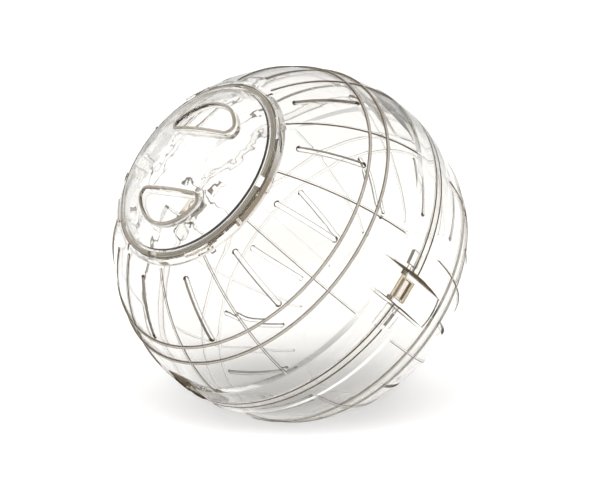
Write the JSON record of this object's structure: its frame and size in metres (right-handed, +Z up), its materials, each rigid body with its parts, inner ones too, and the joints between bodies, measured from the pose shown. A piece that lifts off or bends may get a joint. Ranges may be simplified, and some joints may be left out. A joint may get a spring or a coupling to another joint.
{
  "type": "hamster exercise ball",
  "caption": "Clear plastic exercise ball for a small pet: two ribbed, slotted half shells held by seam latches, with a round lift-off door.",
  "frame": {"origin": "centre of the ball", "axes": "+Z up with the ball lying as in the picture; the door axis points to -Y and 37 degrees up; X is level, along the door's width"},
  "size_m": [0.1792, 0.1785, 0.178],
  "materials": {
    "clear_shell": "clear glossy injection-moulded polystyrene with a faint smoky warm tint",
    "clear_shell_rear": "clear glossy injection-moulded polystyrene with a faint smoky warm tint",
    "clear_door": "clear glossy polystyrene, slightly wavy from moulding",
    "clear_latch": "clear glossy polystyrene with fine grip ridges"
  },
  "bodies": {
    "ball": {"front_shell": "clear_shell", "rear_shell": "clear_shell_rear"},
    "door": {"door": "clear_door"},
    "latch_1": {"seam_latch_1": "clear_latch"},
    "latch_2": {"seam_latch_2": "clear_latch"},
    "latch_3": {"seam_latch_3": "clear_latch"},
    "latch_4": {"seam_latch_4": "clear_latch"}
  },
  "joints": [
    {"name": "door_lift", "type": "slide", "parent": "ball", "child": "door", "axis": [0, -0.7982, 0.6024], "range_m": [0, 0.06]},
    {"name": "latch_1_hinge", "type": "hinge", "parent": "ball", "child": "latch_1", "pos_m": [0.00824, 0.05078, 0.07044], "axis": [0.9955, -0.0569, -0.0754], "range_deg": [0, 80]},
    {"name": "latch_2_hinge", "type": "hinge", "parent": "ball", "child": "latch_2", "pos_m": [-0.08681, 0.00344, 0.00772], "axis": [0.0945, 0.5997, 0.7946], "range_deg": [0, 80]},
    {"name": "latch_3_hinge", "type": "hinge", "parent": "ball", "child": "latch_3", "pos_m": [-0.00824, -0.05381, -0.06815], "axis": [-0.9955, 0.0569, 0.0754], "range_deg": [0, 80]},
    {"name": "latch_4_hinge", "type": "hinge", "parent": "ball", "child": "latch_4", "pos_m": [0.08681, -0.00648, -0.00543], "axis": [-0.0945, -0.5997, -0.7946], "range_deg": [0, 80]}
  ]
}
